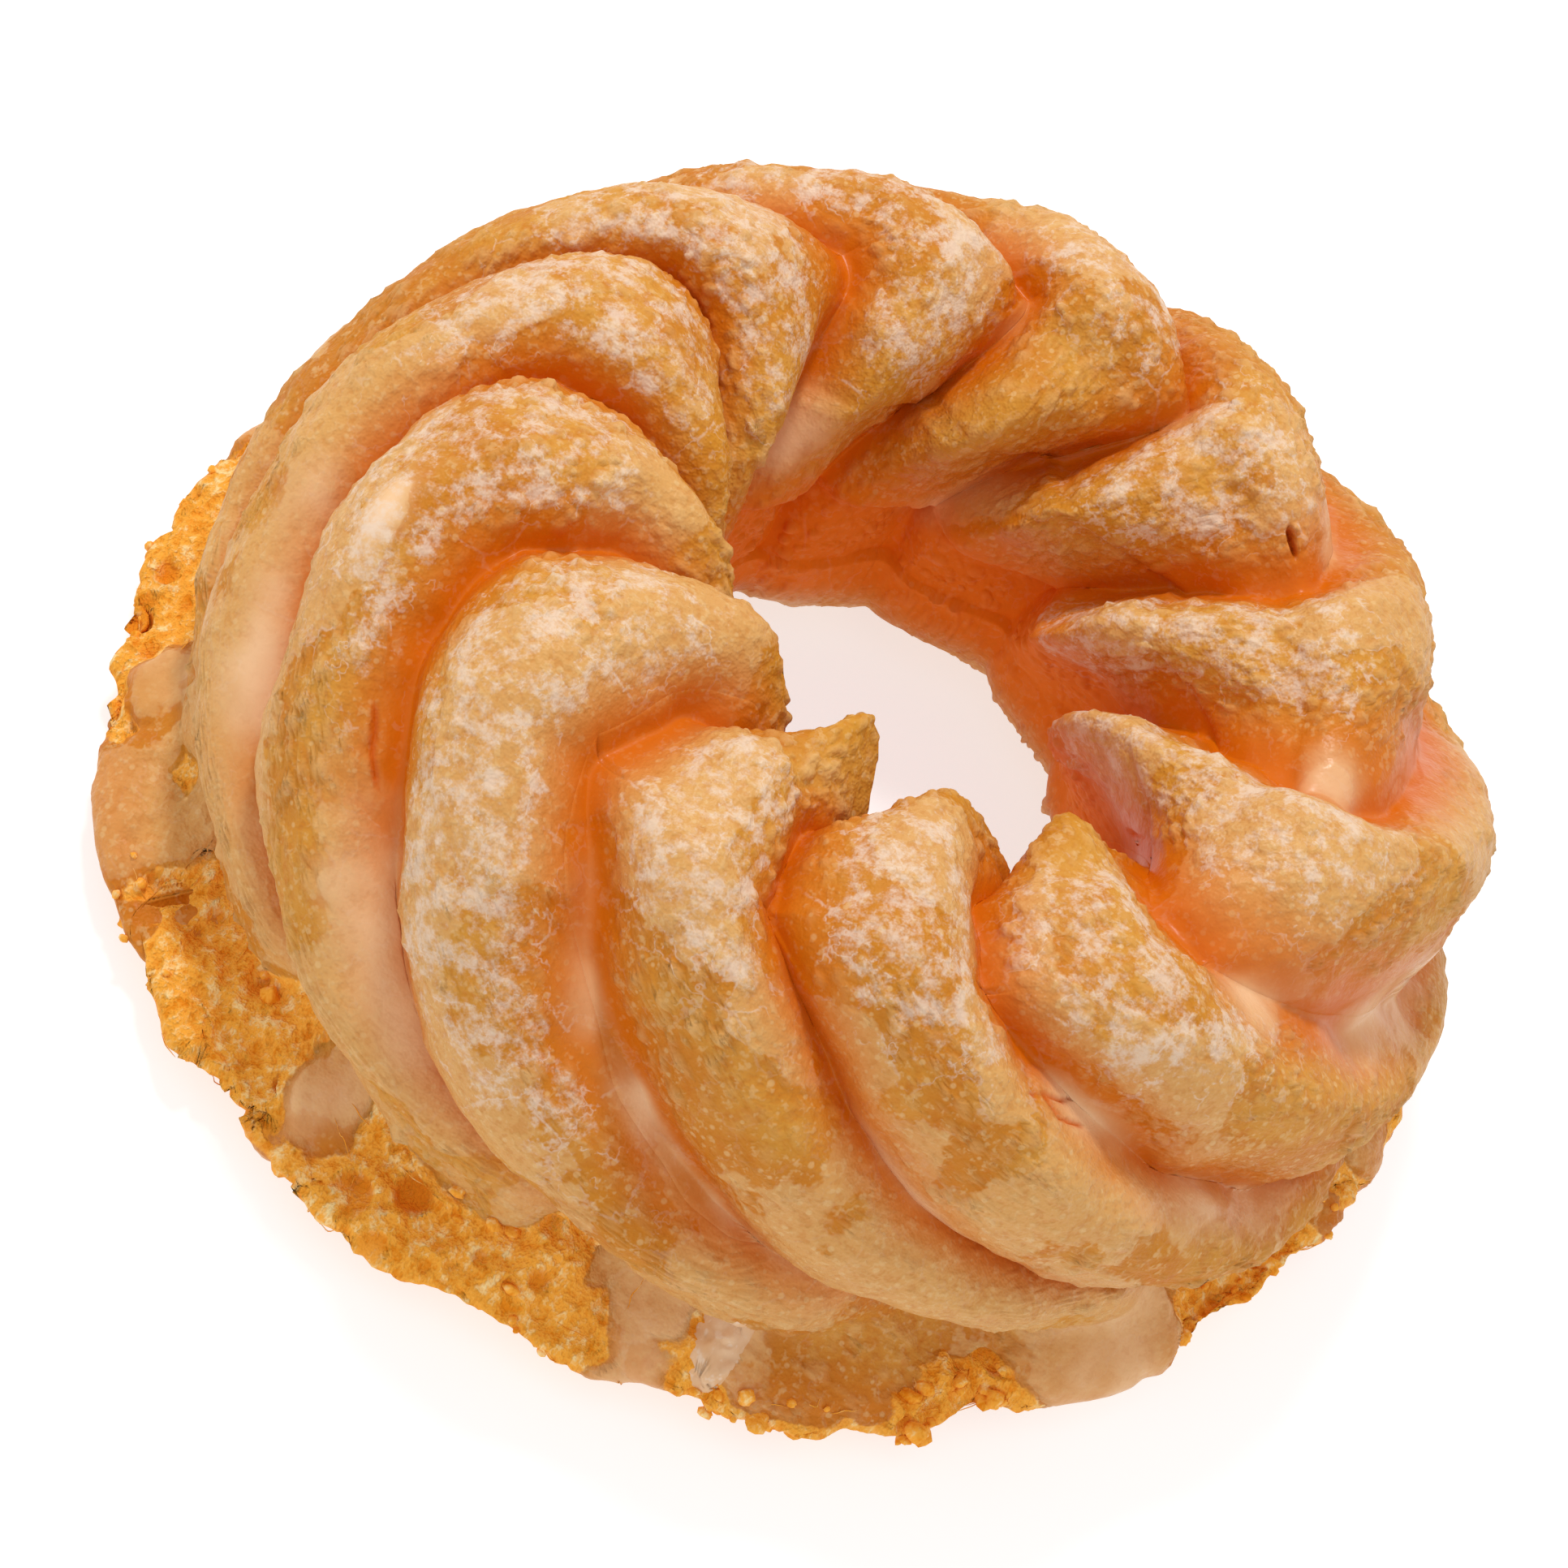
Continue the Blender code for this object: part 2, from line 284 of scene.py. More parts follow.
# %% Smooth skin
def skin(s, phi):
    """Point for ridge number s and section angle phi: the envelope at the swept ring
    angle, moved in along its own normal by the valley depth times (1 - lobe)."""
    angle = np.radians(FIRST_RIDGE + RIDGE_DEG * s + lean(s, phi) + sweep(phi))
    radius, height = envelope(angle, phi)
    rough_place = np.stack([radius * np.cos(angle), radius * np.sin(angle), height], axis=-1)
    s = s + (0.055 * noise(rough_place, 8.0, 51) + 0.022 * noise(rough_place, 3.0, 52))
    across = across_ridge(s, angle)
    fullness = np.where(across > 0.0, LOBE_STEEP, LOBE_LONG)
    lobe = np.maximum(1.0 - np.abs(across) ** fullness, 0.0) ** LOBE_POWER
    lobe = np.hypot(lobe, GLAZE_LEVEL + BASE_GLAZE * ease(-phi, -70.0, -10.0))
    on_cap = ease(phi, -10.0, 12.0) * ease(-phi, -185.0, -160.0)
    crest = np.exp(-(across ** 2))
    knob = per_ridge(KNOB_MM, s) * np.exp(-((across / per_ridge(KNOB_ACROSS, s)) ** 2))
    offset = -valley_depth(phi) * (1.0 - lobe) + per_ridge(LIFT_MM, s) * on_cap
    end = bump(phi, per_ridge(KNOB_AT, s), per_ridge(KNOB_WIDE, s))
    pinch = PINCH_SHARE * np.minimum(knob, PINCH_MM) * bump(phi, PINCH_AT, PINCH_WIDE)
    offset = offset + knob * end - pinch
    offset = offset - per_ridge(UNDERCUT_MM, s) * crest * bump(phi, UNDERCUT_AT, UNDERCUT_WIDE)
    beside = np.exp(-(((s % RIDGES - NOTCH_AT[0]) / NOTCH_WIDE[0]) ** 2))
    offset = offset - NOTCH_MM * beside * bump(phi, NOTCH_AT[1], NOTCH_WIDE[1])
    ring_deg = np.degrees(angle)
    under = lip_line(ring_deg, across) - phi
    ragged = noise(rough_place, 4.0, 53) + 0.4 * noise(rough_place, 1.5, 54)
    torn, back = tears(ring_deg, under, ragged)
    offset = offset - (0.5 * bump(under, 5.0, 5.0) * (1.0 - torn) + back)
    inner = 0.5 + 0.5 * np.cos(np.radians(ring_deg - 118.0))
    offset = offset - HOLE_LEDGE * inner * ease(phi, 163.0, 167.0)
    offset = offset - HOLE_LEDGE * inner * ease(-phi, 145.0, 175.0)
    r_next, z_next = envelope(angle, phi + 1.5)
    r_last, z_last = envelope(angle, phi - 1.5)
    run_r, run_z = r_next - r_last, z_next - z_last
    length = np.hypot(run_r, run_z)
    radius = radius + run_z / length * offset
    height = height - run_r / length * offset
    droop = bump(under, -1.5, 3.2) * ease(across, -1.2, -0.2) * ease(-across, -1.2, -0.2)
    height = height - droop * (0.5 + 0.5 * torn)
    radius = radius + 0.45 * droop
    points = np.stack([radius * np.cos(angle), radius * np.sin(angle), height], axis=-1)
    return points, {"across": across, "lobe": lobe, "ring": ring_deg, "on_cap": on_cap,
                    "under": under, "torn": torn, "s": s}


def skin_normals(s, phi):
    """Unit normals from four neighbours of each point, outward by their order."""
    along = skin(s + 0.012, phi)[0] - skin(s - 0.012, phi)[0]
    around = skin(s, phi - 0.5)[0] - skin(s, phi + 0.5)[0]
    normal = np.cross(around, along)
    return normal / np.maximum(np.linalg.norm(normal, axis=-1, keepdims=True), 1e-9)


# %% Grid lines
CELLS_PER_RIDGE = 96
LAP_CELLS = 8
ROWS = 320
CORE_HEIGHT, CORE_SHRINK = 8.0, 0.12
LAP_SINK, LAP_STEP = 1.2, 0.05                 # mm under the next length


def section_rows(count):
    """Section angles from the hole over the top: even along the outline, but packed
    closer on the cap and closest at the waist, and wide apart under the base."""
    phi = np.linspace(185.0, -175.0, 2881)
    radius, height = envelope(np.full(phi.shape, np.radians(BASE_SIDE)), phi)
    steps = np.hypot(np.diff(radius), np.diff(height))
    weight = 1.0 - 0.70 * ease(-phi[1:], 55.0, 80.0) * ease(phi[1:], -178.0, -160.0)
    weight = weight * (1.0 + 0.5 * bump(phi[1:], -4.0, 12.0))
    run = np.concatenate([[0.0], np.cumsum(steps * weight)])
    return np.interp(np.arange(count) / count * run[-1], run, phi)


# the ring is centred by its box, exactly as the solid was
OFFSET = np.array([-0.73, -1.72, FLAT_LIFT])

# %% [markdown]
# ## What lies on the skin
# Glaze pooled in some valleys and ran down to the base, dried as a milky film over the
# crests, and left the knobs and some flanks bare and toasted.  Each of these is a mask
# from 0 to 1, kept on the mesh as an attribute for the finish to read.  One more mask
# says where a deep orange is painted in for light through the dough and for shade.

# %% Places of thick glaze: ridge number, section angle, half widths in each
POOLS = ((0.29, 22.0, 0.20, 26.0), (2.40, 28.0, 0.10, 34.0), (4.36, 50.0, 0.13, 14.0),
         (8.30, 108.0, 0.17, 22.0), (9.36, 103.0, 0.12, 18.0), (5.33, 68.0, 0.15, 20.0),
         (6.40, 90.0, 0.14, 18.0), (7.40, 62.0, 0.14, 20.0), (3.45, 30.0, 0.12, 24.0),
         (4.30, 22.0, 0.20, 18.0), (1.32, 19.0, 0.24, 24.0), (2.45, 5.0, 0.14, 12.0),
         (10.25, 152.0, 0.32, 15.0), (8.35, 160.0, 0.3, 12.0), (1.05, 60.0, 0.11, 11.0),
         (5.40, 24.0, 0.2, 20.0), (8.40, 25.0, 0.2, 24.0), (10.40, 30.0, 0.2, 24.0))
RUNS = ((206.0, 7.0), (247.0, 5.5), (284.0, 9.0), (324.0, 13.0), (38.0, 9.0), (84.0, 8.0),
        (128.0, 8.0), (172.0, 6.0))            # ring angle and half width
RUN_STRENGTH = 0.7


def glaze_pools(facts, phi, wobble):
    """Thick glaze: ovals in the valleys, and broad runs down the base with soft sides."""
    pool = np.zeros(phi.shape)
    for s0, phi0, half_s, half_phi in POOLS:
        ds = (facts["s"] - s0 + RIDGES / 2) % RIDGES - RIDGES / 2
        away = np.hypot(ds / half_s, (phi - phi0) / half_phi) + 0.3 * wobble
        pool = np.maximum(pool, ease(-away, -1.15, 0.1))
    for ring0, half in RUNS:
        away = np.abs((facts["ring"] - ring0 + 180.0) % 360.0 - 180.0) / half + 0.35 * wobble
        below_lip = ease(facts["under"], -4.0, 1.0) * ease(phi, -95.0, -55.0)
        pool = np.maximum(pool, RUN_STRENGTH * ease(-away, -1.3, 0.1) * below_lip)
    return pool * (1.0 - facts["torn"])


# %% Cracks and a pit
# each crack is a line of (ridge number, section angle) and a half width in mm
CRACKS = ((((1.325, 44.0), (1.335, 42.0), (1.33, 40.0), (1.345, 37.5)), 0.13),
          (((4.24, 58.0), (4.29, 57.0), (4.33, 53.0), (4.37, 52.0)), 0.11),
          (((4.29, 57.0), (4.27, 52.0), (4.31, 48.0)), 0.11),
          (((5.36, 28.0), (5.40, 24.0), (5.38, 21.0)), 0.11),
          (((10.30, 56.0), (10.33, 52.0), (10.30, 48.0)), 0.11))
PIT_S, PIT_PHI, PIT_WIDE, PIT_DEEP = 7.50, 98.0, 0.62, 1.1
RIDGE_STEP, DEGREE_STEP = 13.0, 0.36           # mm in one ridge and in one degree


def split_skin(s, phi):
    """1 on a crack and in the pit, 0 elsewhere: a bell of the distance in mm to the
    nearest piece of each line, with ridges and degrees turned into mm first."""
    crack, at = np.zeros(phi.shape), np.stack([s % RIDGES * RIDGE_STEP, phi * DEGREE_STEP], -1)
    for line, half in CRACKS:
        line = np.array(line) * [RIDGE_STEP, DEGREE_STEP]
        for first, last in zip(line[:-1], line[1:]):
            way = last - first
            t = np.clip(((at - first) @ way) / (way @ way), 0.0, 1.0)
            gap = np.linalg.norm(at - first - t[..., None] * way, axis=-1)
            crack = np.maximum(crack, np.exp(-((gap / half) ** 2)))
    pit = np.linalg.norm(at - np.array([PIT_S * RIDGE_STEP, PIT_PHI * DEGREE_STEP]), axis=-1)
    return crack, ease(-pit, -1.5 * PIT_WIDE, -0.6 * PIT_WIDE)


# %% Milky film and sugar
# for each ridge, the lowest and highest section angle sugar lies on
SUGARED = ((55, 125), (45, 110), (20, 116), (60, 110), (62, 118), (55, 118), (70, 165),
           (85, 168), (80, 142), (65, 108), (42, 138), (52, 140))
FILM_LEVEL = 0.29


def masks_at(points, phi, facts):
    """All the masks at once, for points in millimetres."""
    s, lobe, across = facts["s"], facts["lobe"], facts["across"]
    slow, patchy = rough(points, 9.0, 3, 61), rough(points, 4.5, 3, 65)
    pool = glaze_pools(facts, phi, patchy)
    low = per_ridge([a for a, b in SUGARED], s)
    high = per_ridge([b for a, b in SUGARED], s)
    band = ease(phi, low - 14.0, low + 10.0) * ease(-phi, -high - 10.0, -high + 12.0)
    sugar = band * ease(lobe, 0.45, 0.85) * (1.0 - facts["torn"])
    film = FILM_LEVEL + 0.65 * slow + 0.30 * band * ease(lobe, 0.5, 0.9)
    film = film + 0.38 * bump(phi, 8.0, 16.0)
    film = film - 0.3 * bump(phi, 134.0, 14.0) * ease(lobe, 0.4, 0.8)
    in_hole = np.maximum(ease(phi, 138.0, 168.0), ease(-phi, 140.0, 165.0))
    film = film - 0.35 * in_hole
    film = np.clip(film + 0.5 * pool, 0.0, 1.0) * (1.0 - facts["torn"])
    toast = bump(phi, 132.0, 13.0) * np.exp(-((across / 0.6) ** 2)) * facts["on_cap"]
    toast = np.clip(toast * 0.8 + 0.45 * patchy + 0.1, 0.0, 1.0) * (1.0 - pool)
    # valley is also the mask of painted light: it lays the deep orange painted for light through
    # the dough and for shade on the valley floors, the hole and the base below the waist; it also
    # marks where glaze is wet
    valley = ease(np.abs(across), 0.30, 1.0) * ease(phi, -10.0, 12.0)
    valley = np.maximum(valley, 0.92 * in_hole)
    valley = np.maximum(valley, 0.45 * ease(-phi, 8.0, 20.0) * ease(phi, -130.0, -90.0))
    crack, pit = split_skin(facts["s"], phi)
    mottle = np.clip(0.5 + 0.32 * rough(points, 5.5, 3, 77), 0.0, 1.0)
    # the pit joins that mask, so it gets the same painted glow and shade
    return {"valley": np.maximum(valley, pit), "film": film * (1.0 - pit), "sugar": sugar,
            "pool": pool, "toast": toast, "torn": facts["torn"], "mottle": mottle,
            "hole": in_hole, "crack": np.maximum(crack, pit), "pit": pit}


# %% [markdown]
# ## Rough skin
# The texture is laid along the skin's normals: slow lumps, blisters on bare crust,
# smooth film where glaze is thick, and at the tears a crumb of torn walls and pores.

# %% Sizes of the lumps in mm: cell, smallest, largest, then the share of cells that hold one
BLISTERS, BLISTER_RISE = (1.15, 0.28, 0.72, 0.8), 0.60
GRAINS, GRAIN_RISE = (0.72, 0.2, 0.44, 0.85), 0.75
BIG_PORES, SMALL_PORES, PORE_SINK = (3.6, 0.5, 1.7, 0.6), (1.7, 0.25, 0.8, 0.8), 0.8
CRACK_DEEP, POOL_RISE, FILM_RISE = 0.3, 0.3, 0.12


# %% Crust surface
def crust_point(s, phi):
    """Final point in millimetres on the crust, with its masks."""
    points, facts = skin(s, phi)
    masks = masks_at(points, phi, facts)
    torn, film, pool = facts["torn"], masks["film"], masks["pool"]
    bare = (1.0 - torn) * (1.0 - pool) * (1.0 - 0.45 * ease(film, 0.45, 0.75))
    bare = bare * np.clip(0.60 + 0.55 * rough(points, 5.0, 2, 43), 0.15, 1.2)
    blisters = BLISTER_RISE * domes(points, *BLISTERS, 13)
    grains = GRAIN_RISE * domes(points + 50.0, *GRAINS, 17)
    on_crust = ease(facts["lobe"], 0.36, 0.66)
    height = 0.32 * rough(points, 6.0, 2, 3) + 0.09 * rough(points, 2.2, 2, 9) * (1.0 - pool)
    height = height + (blisters + grains) * bare * on_crust
    height = height + FILM_RISE * ease(film, 0.47, 0.53)
    pores = np.maximum(domes(points, *BIG_PORES, 31), domes(points, *SMALL_PORES, 37))
    walls = 1.0 - np.abs(noise(points, 1.5, 27))
    crumb = 0.8 * rough(points, 3.6, 2, 21) - PORE_SINK * pores + 0.35 * walls
    crumb = crumb + 0.2 * rough(points, 0.8, 2, 35)
    height = height * (1.0 - torn) + crumb * torn + POOL_RISE * pool
    height = height - CRACK_DEEP * masks["crack"] - (PIT_DEEP - CRACK_DEEP) * masks.pop("pit")
    # pore also sets where the crumb is painted deep orange for the shade in its pores
    masks["pore"] = np.clip(pores / 0.8, 0.0, 1.0) * torn
    masks["blister"] = np.clip((blisters + grains) / 0.4, 0.0, 1.0) * bare * on_crust
    normal = skin_normals(s, phi)
    points = points - OFFSET + normal * height[..., None]
    points[..., 2] = np.maximum(points[..., 2], 0.0)
    return points, normal, masks


# %% Put a grid into a mesh
def add_mesh(name, points, faces, masks=None):
    """A mesh object from points in millimetres and a face array, with float attributes.
    Prints its triangles and its volume, which is positive when faces point outwards."""
    mesh = bpy.data.meshes.new(name)
    faces = np.asarray(faces, dtype=np.int32)
    corners = faces.shape[1]
    mesh.vertices.add(len(points))
    mesh.vertices.foreach_set("co", (points * MM).astype(np.float32).ravel())
    mesh.loops.add(faces.size)
    mesh.loops.foreach_set("vertex_index", faces.ravel())
    mesh.polygons.add(len(faces))
    mesh.polygons.foreach_set("loop_start", np.arange(0, faces.size, corners, dtype=np.int32))
    mesh.update(calc_edges=True)
    mesh.validate()
    mesh.shade_smooth()
    for key, values in (masks or {}).items():
        layer = mesh.attributes.new(key, "FLOAT", "POINT")
        layer.data.foreach_set("value", values.astype(np.float32).ravel())
    piece = bpy.data.objects.new(name, mesh)
    bpy.context.scene.collection.objects.link(piece)
    a, b, c = points[faces[:, 0]], points[faces[:, 1]], points[faces[:, 2]]
    volume = (a * np.cross(b, c)).sum() / 6.0
    print(name, "faces", len(faces), "volume mm3", round(float(volume), 1))
    return piece


def grid_faces(columns, rows):
    """Triangles of a grid of columns by rows that is closed along its rows."""
    i, j = np.meshgrid(np.arange(columns - 1), np.arange(rows), indexing="ij")
    a, b = i * rows + j, i * rows + (j + 1) % rows
    c, d = a + rows, b + rows
    return np.concatenate([np.stack([a, b, d], -1).reshape(-1, 3),
                           np.stack([a, d, c], -1).reshape(-1, 3)])


def closed_faces(columns, rows):
    """The same grid with both ends closed by fans round two hubs, which are the two
    points after the grid's own."""
    ring, hub, last = np.arange(rows), columns * rows, (columns - 1) * rows
    after = (ring + 1) % rows
    first_fan = np.stack([np.full(rows, hub), after, ring], -1)
    last_fan = np.stack([np.full(rows, hub + 1), last + ring, last + after], -1)
    return np.concatenate([grid_faces(columns, rows), first_fan, last_fan])


# %% [markdown]
# ## Four lengths of crust
# One mesh of this whole ring would be too heavy to store, so the ring is made in four
# lengths of three ridges.  Each length is closed and runs a little way under the next,
# so the joins lie hidden in the valleys.  A valley winds round the dough, so a flat end
# wall would cut through the surface: each end folds in to a thin core first.

# %% Build the crust
def crust_length(name, first_ridge):
    """Three ridges of the ring as one closed mesh.  The laps beyond its two valleys are
    sunk under the neighbours, deeper cell by cell."""
    rows = section_rows(ROWS)
    cells = np.arange(-LAP_CELLS, 3 * CELLS_PER_RIDGE + LAP_CELLS + 1)
    columns = first_ridge - 1.0 + VALLEY_AT + cells / CELLS_PER_RIDGE
    u, phi = np.meshgrid(columns, rows, indexing="ij")
    s = u - HELIX * ease(-phi, 15.0, 175.0)
    points, _, masks = crust_point(s, phi)
    over = np.maximum(-cells, cells - 3 * CELLS_PER_RIDGE).clip(0) / LAP_CELLS
    turn = np.arctan2(points[..., 1] + OFFSET[1], points[..., 0] + OFFSET[0])
    core = np.stack([RING_RADIUS * np.cos(turn), RING_RADIUS * np.sin(turn),
                     np.full(turn.shape, CORE_HEIGHT)], -1) - OFFSET
    inward = (core - points) / np.linalg.norm(core - points, axis=-1, keepdims=True)
    points = points + inward * (LAP_SINK * over + LAP_STEP * (over > 0.0))[:, None, None]
    points[..., 2] = np.maximum(points[..., 2], 0.0)
    ends = [core[edge] + CORE_SHRINK * (points[edge] - core[edge]) for edge in (0, -1)]
    grid = np.concatenate([ends[0][None], points, ends[1][None]])
    hubs = np.stack([ends[0].mean(axis=0), ends[1].mean(axis=0)])
    hubs[:, 2] = CORE_HEIGHT - FLAT_LIFT
    full = {}
    for key, m in masks.items():
        padded = np.concatenate([m[:1] * 0.0, m, m[:1] * 0.0]).ravel()
        full[key] = np.concatenate([padded, [0.0, 0.0]])
    points = np.concatenate([grid.reshape(-1, 3), hubs])
    return add_mesh(name, points, closed_faces(len(grid), ROWS), full)


crust = [crust_length(name, first) for name, first in
         (("crust_west", 0), ("crust_south", 3), ("crust_east", 6), ("crust_north", 9))]

# %% [markdown]
# ## Runs and drips of glaze
# Wet glaze gathers in thin tongues where it leaves a valley, and dries as a raised,
# milky drop.  Each is a small closed lens laid on the crust: its top stands off the
# skin by a rounded thickness, and its under side is sunk a little into the dough.

# %% Where a ring angle falls
def ridge_number(ring_deg, phi):
    """The s whose swept place is at that ring angle: solved in a few short steps,
    because the lean depends a little on s itself."""
    s = (ring_deg - FIRST_RIDGE - sweep(phi)) / RIDGE_DEG
    for _ in range(6):
        s = (ring_deg - FIRST_RIDGE - lean(s, phi) - sweep(phi)) / RIDGE_DEG
    return s


RIM_SINK, UNDER_SINK = 0.1, 0.35               # mm into the dough


def lens_patch(ring0, phi0, half_ring, half_phi, thick, seed, rings=14, spokes=40):
    """Points and faces of one closed lens.  r runs from the middle to the wavy rim, and
    the top stands off by the thickness times (1 - r to the 2.5) to the 0.8."""
    r, turn = np.meshgrid(np.linspace(0.04, 1.0, rings), np.arange(spokes) / spokes * 2 * np.pi,
                          indexing="ij")
    wave = 1.0 + 0.12 * np.sin(2 * turn + seed) + 0.08 * np.sin(3 * turn + 2.1 * seed)
    tongue = 1.0 + 0.25 * np.maximum(-np.sin(turn), 0.0) ** 3
    ring_deg = ring0 + half_ring * r * wave * np.cos(turn)
    phi = phi0 + half_phi * r * wave * tongue * np.sin(turn)
    points, normal, _ = crust_point(ridge_number(ring_deg, phi), phi)
    lift = thick * np.maximum(1.0 - r ** 2.5, 0.0) ** 0.8 - RIM_SINK
    top = points + normal * lift[..., None]
    under = points - normal * UNDER_SINK
    grid = np.concatenate([top, under[::-1]])
    hubs = np.stack([top[0].mean(axis=0), under[0].mean(axis=0)])
    hubs[:, 2] = np.maximum(hubs[:, 2], 0.0)
    grid[..., 2] = np.maximum(grid[..., 2], 0.0)
    return np.concatenate([grid.reshape(-1, 3), hubs]), closed_faces(len(grid), spokes)[:, ::-1]


def join(parts):
    """Many small meshes as one: points stacked, face numbers moved up to match."""
    starts = np.cumsum([0] + [len(points) for points, _ in parts[:-1]])
    return (np.concatenate([points for points, _ in parts]),
            np.concatenate([faces + start for (_, faces), start in zip(parts, starts)]))


# %% Drips: ring angle, section angle, half width in degrees, half height, thickness
DRIPS = ((287.2, -11.0, 2.5, 9.0, 0.45), (40.0, -14.0, 2.4, 9.0, 0.5),
         (86.0, -12.0, 2.0, 10.0, 0.4), (130.0, -16.0, 2.2, 8.0, 0.45))
drip_points, drip_faces = join([lens_patch(*drip, seed=1.3 * k) for k, drip in enumerate(DRIPS)])
drips = add_mesh("glaze_drips", drip_points, drip_faces)

# %% [markdown]
# ## Crumbs and threads
# Torn choux leaves loose crumbs on the lips of the tears and fine threads across the
# pores.  A crumb is a small ball pushed about by noise; a thread is a thin three-sided
# tube along a sagging curve between two points of the crumb.

# %% Crumbs
def ball(rings=7, spokes=10):
    """Unit ball: rings of latitude, closed by two poles."""
    up = np.linspace(0.0, np.pi, rings + 2)[1:-1]
    turn = np.arange(spokes) / spokes * 2 * np.pi
    lat, lon = np.meshgrid(up, turn, indexing="ij")
    grid = np.stack([np.sin(lat) * np.cos(lon), np.sin(lat) * np.sin(lon), np.cos(lat)], -1)
    poles = [[0, 0, 1.0], [0, 0, -1.0]]
    return np.concatenate([grid.reshape(-1, 3), poles]), closed_faces(rings, spokes)[:, ::-1]


rng = np.random.default_rng(7)


def spots_on_tears(count, lowest_share):
    """Random places in the tears, as ring and section angles."""
    pick = rng.integers(0, len(TEARS), count)
    sizes = np.array(TEARS)[pick]
    ring_deg = sizes[:, 0] + sizes[:, 1] * rng.uniform(-1.0, 1.0, count)
    down = lowest_share * rng.uniform(0.0, 1.0, count) ** 1.3
    return ring_deg, -3.0 - (sizes[:, 2] + (sizes[:, 3] - sizes[:, 2]) * down)


def crumb_lumps(count):
    """Balls of 0.25 to 0.8 mm half set into the crumb, each its own lumpy shape."""
    ring_deg, phi = spots_on_tears(count, 0.8)
    centre, normal, _ = crust_point(ridge_number(ring_deg, phi), phi)
    unit, faces = ball()
    parts = []
    for k in range(count):
        size = 0.25 + 0.55 * rng.uniform() ** 2.5
        stretch = rng.uniform(0.7, 1.4, 3)
        shape = unit * (1.0 + 0.35 * noise(unit * 1.7 + k * 9.0, 1.0, 71))[:, None] * stretch
        parts.append((centre[k] + normal[k] * size * 0.3 + shape * size, faces))
    return join(parts)


CRUMB_COUNT, THREAD_COUNT, THREAD_RADIUS = 170, 160, 0.045
crumb_points, crumb_faces = crumb_lumps(CRUMB_COUNT)
crumb_points[:, 2] = np.maximum(crumb_points[:, 2], 0.0)
crumbs = add_mesh("torn_crumbs", crumb_points, crumb_faces)


# %% Threads
def tube(path, radius):
    """A three-sided closed tube along a path of points, tapered to both ends."""
    step = np.gradient(path, axis=0)
    step /= np.maximum(np.linalg.norm(step, axis=-1, keepdims=True), 1e-9)
    side = np.cross(step, [0.31, 0.22, 0.93])
    side /= np.maximum(np.linalg.norm(side, axis=-1, keepdims=True), 1e-9)
    other = np.cross(step, side)
    turn = np.arange(3) / 3.0 * 2 * np.pi
    thin = radius * np.sin(np.linspace(0.35, np.pi - 0.35, len(path)))[:, None, None]
    grid = path[:, None, :] + thin * (side[:, None, :] * np.cos(turn)[None, :, None]
                                      + other[:, None, :] * np.sin(turn)[None, :, None])
    faces = grid_faces(len(path), 3)
    last = (len(path) - 1) * 3
    return grid.reshape(-1, 3), np.concatenate([faces, [[0, 2, 1], [last, last + 1, last + 2]]])


def threads(count):
    """Threads of 1.2 to 3.2 mm that start and end in the crumb and bow off it."""
    ring_deg, phi = spots_on_tears(count, 0.7)
    reach = rng.uniform(1.2, 3.2, count)
    lean_way = rng.uniform(0, 2 * np.pi, count)
    ring_end = ring_deg + np.degrees(reach * np.cos(lean_way) / CAP_RADIUS)
    phi_end = np.clip(phi + reach * np.sin(lean_way) * 2.0, -70.0, -3.0)
    start, normal, _ = crust_point(ridge_number(ring_deg, phi), phi)
    end, _, _ = crust_point(ridge_number(ring_end, phi_end), phi_end)
    t = np.linspace(0.0, 1.0, 9)[:, None]
    parts = []
    for k in range(count):
        bow = rng.uniform(0.02, 0.16) * np.sin(np.pi * t) * normal[k]
        wave = 0.12 * np.sin(t * rng.uniform(3, 9) + k) * rng.normal(size=3)
        path = start[k] * (1 - t) + end[k] * t + bow + wave * np.sin(np.pi * t)
        parts.append(tube(path, THREAD_RADIUS))
    return join(parts)


thread_points, thread_faces = threads(THREAD_COUNT)
thread_points[:, 2] = np.maximum(thread_points[:, 2], 0.0)
thread_piece = add_mesh("crumb_threads", thread_points, thread_faces)

# %% [markdown]
# ## Finishes
# Most colours come from what frying and glazing do.  Bare crust is gold with toasted
# freckles; in the valleys light passes through the dough and turns deep orange, and that
# glow, with the shade, is painted into the colour of the valleys, the hole, the base below
# the waist, the cracks and the pit, and shade is painted into the pores of the crumb; the
# film of glaze is milky; and sugar dries to white lace along the edges of that film.
# Groups with named sockets hold the patterns, so that several finishes can share them.

# %% Helpers for nodes
def mm(size):
    """Scale for a noise or cell texture whose features are that many millimetres."""
    return 1.0 / (size * MM)


def put(tree, kind, inputs=None, **settings):
    """Add a node, set its options, and fill each named or numbered input with a value
    or a link."""
    node = tree.nodes.new(kind)
    for key, value in settings.items():
        setattr(node, key, value)
    for key, value in (inputs or {}).items():
        if isinstance(value, bpy.types.NodeSocket):
            tree.links.new(value, node.inputs[key])
        else:
            node.inputs[key].default_value = value
    return node


def blend(tree, amount, first, second):
    """Colour first where amount is 0, second where it is 1."""
    node = put(tree, "ShaderNodeMix", {0: amount, 6: first, 7: second}, data_type="RGBA")
    return node.outputs[2]


def sums(tree, how, *values):
    """One arithmetic step on numbers or sockets."""
    node = put(tree, "ShaderNodeMath", dict(enumerate(values)), operation=how)
    return node.outputs[0]


def rise(tree, value, low, high):
    """0 below low, 1 above high, smooth between."""
    return put(tree, "ShaderNodeMapRange", {0: value, 1: low, 2: high},
               interpolation_type="SMOOTHSTEP").outputs[0]


